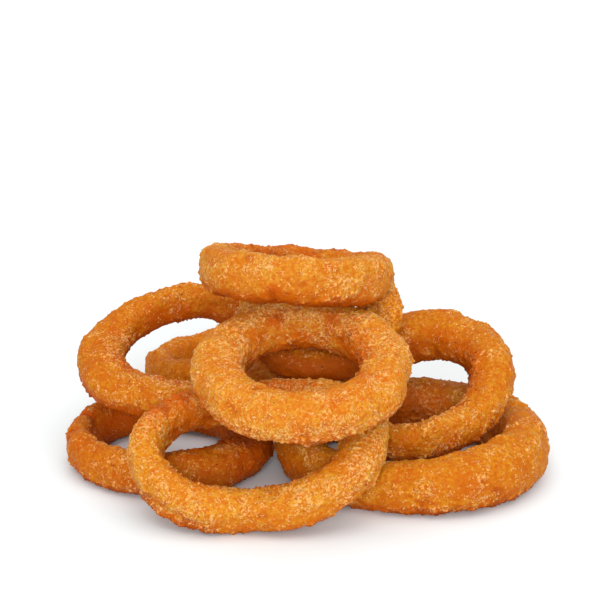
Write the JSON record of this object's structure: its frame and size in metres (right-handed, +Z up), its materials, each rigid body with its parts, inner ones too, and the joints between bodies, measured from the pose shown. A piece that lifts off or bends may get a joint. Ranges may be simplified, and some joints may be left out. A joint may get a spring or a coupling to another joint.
{
  "type": "onion rings side",
  "caption": "A loose stack of fried, crumbed onion rings as served as a side, lying as they fell, without a plate.",
  "frame": {"origin": "middle of the stack's box at ground level", "axes": "+Z up; -Y towards the side where the front ring lies; +X towards the widest ring"},
  "size_m": [0.1744, 0.1818, 0.0851],
  "materials": {
    "crust_base_right": "golden brown fried crumb crust, rough with fine glints of oil",
    "crust_base_left": "golden brown fried crumb crust, rough with fine glints of oil",
    "crust_front": "golden brown fried crumb crust, rough with fine glints of oil",
    "crust_right": "golden brown fried crumb crust, rough with fine glints of oil",
    "crust_back_left": "golden brown fried crumb crust, rough with fine glints of oil",
    "crust_left": "golden brown fried crumb crust, rough with fine glints of oil",
    "crust_back": "golden brown fried crumb crust, rough with fine glints of oil",
    "crust_centre": "golden brown fried crumb crust, rough with fine glints of oil",
    "crust_top": "golden brown fried crumb crust, rough with fine glints of oil"
  },
  "bodies": {
    "root": {"ring_base_right": "crust_base_right", "ring_base_left": "crust_base_left", "ring_front": "crust_front", "ring_right": "crust_right", "ring_back_left": "crust_back_left", "ring_left": "crust_left", "ring_back": "crust_back", "ring_centre": "crust_centre", "ring_top": "crust_top"}
  },
  "joints": []
}
